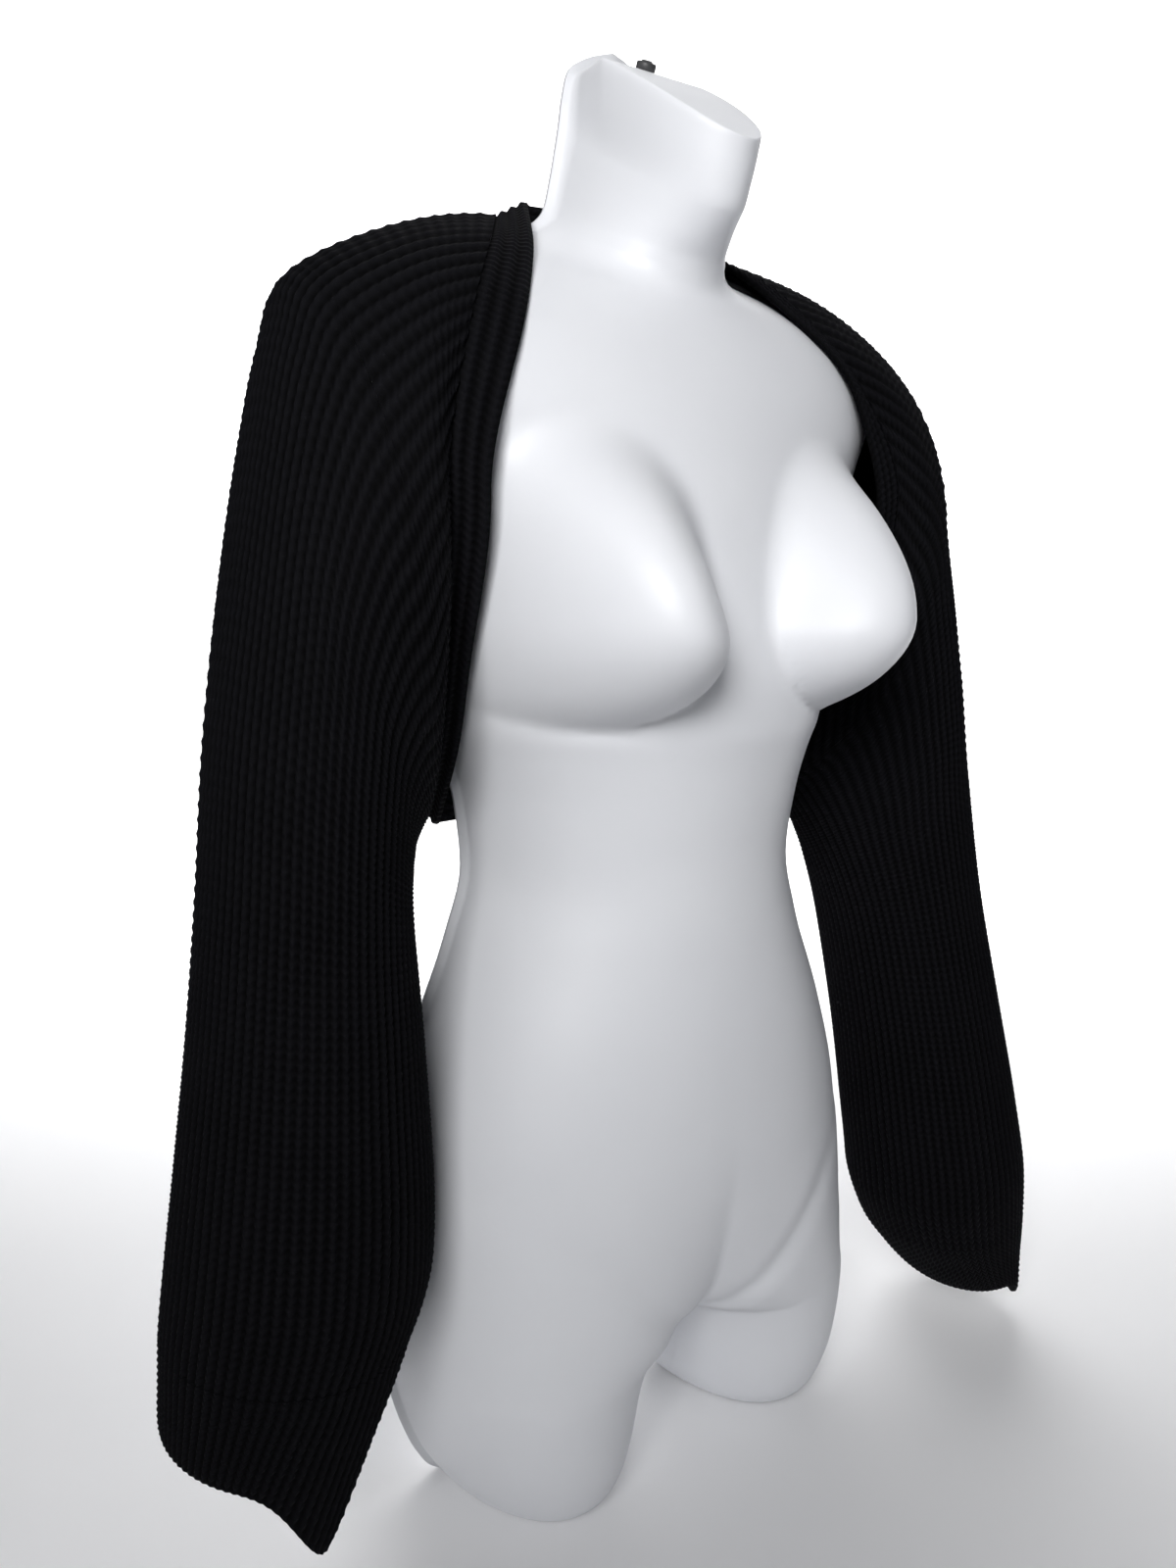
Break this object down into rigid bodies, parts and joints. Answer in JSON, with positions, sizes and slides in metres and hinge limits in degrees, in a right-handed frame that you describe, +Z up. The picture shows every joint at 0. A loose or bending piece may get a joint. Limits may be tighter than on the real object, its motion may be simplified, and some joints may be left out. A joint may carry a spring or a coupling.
{
  "type": "knitted shrug on dress form",
  "caption": "Long-sleeved ribbed knit shrug with an open front and one border band all round its opening, worn by a smooth limbless half-round dress form.",
  "frame": {"origin": "on the floor below the middle of the whole object's box, between the two soles of the dress form", "axes": "+Z up, -Y towards the front of the form, -X towards the wearer's right sleeve"},
  "size_m": [0.6178, 0.209, 0.8482],
  "materials": {
    "black_rib_knit": "matt ribbed knit",
    "white_form_plastic": "satin moulded plastic",
    "dark_plug_plastic": "matt plastic"
  },
  "bodies": {
    "root": {"back": "black_rib_knit", "right_front": "black_rib_knit", "left_front": "black_rib_knit", "right_sleeve": "black_rib_knit", "left_sleeve": "black_rib_knit", "right_cuff": "black_rib_knit", "left_cuff": "black_rib_knit", "border_band": "black_rib_knit", "dress_form": "white_form_plastic", "neck_plug": "dark_plug_plastic"}
  },
  "joints": []
}
